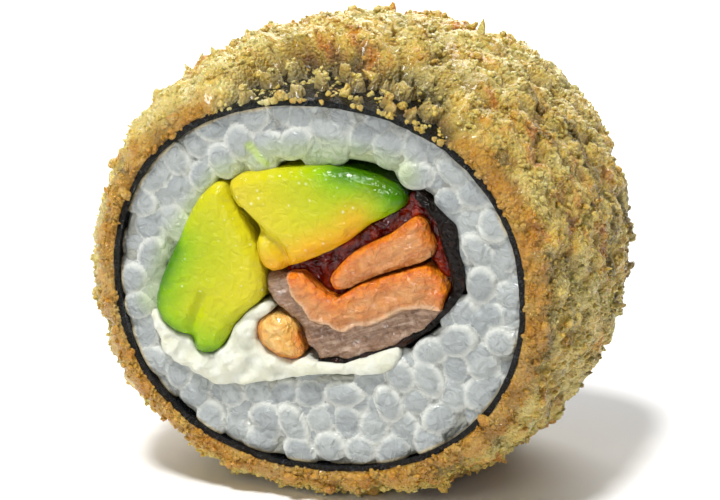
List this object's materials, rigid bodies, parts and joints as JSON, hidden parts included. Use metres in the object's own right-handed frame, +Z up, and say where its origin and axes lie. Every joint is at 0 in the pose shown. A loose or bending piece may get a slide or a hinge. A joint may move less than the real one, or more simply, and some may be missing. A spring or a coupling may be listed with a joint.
{
  "type": "fried sushi roll slice",
  "caption": "Thick slice of a fried sushi roll lying on its side, with a crumb coat, nori, rice, avocado, salmon, sauce and cream cheese.",
  "frame": {"origin": "middle of the flat spot that the roll rests on, under the middle of its axis", "axes": "+Z up, +Y along the roll's axis away from the front cut face, +X to the right as seen from the front cut face"},
  "size_m": [0.0535, 0.0322, 0.047],
  "materials": {
    "crust": "golden fried crumb coat, rough, with a few oily glints",
    "nori": "nearly black pressed seaweed sheet, half gloss",
    "rice": "translucent white boiled rice, moist",
    "avocado": "soft yellow flesh turning green towards the skin side, moist",
    "salmon": "cooked orange and tan flesh with a grey brown layer, moist",
    "salmon_skin": "black glossy skin",
    "sauce": "dark red brown glaze, wet",
    "cream_cheese": "soft white cheese, satin"
  },
  "bodies": {
    "root": {"crust": "crust", "nori": "nori", "rice": "rice", "avocado_slice": "avocado", "avocado_wedge": "avocado", "salmon_strip": "salmon", "salmon_skin": "salmon_skin", "salmon_slab": "salmon", "salmon_chunk": "salmon", "sauce": "sauce", "cream_cheese": "cream_cheese"}
  },
  "joints": []
}
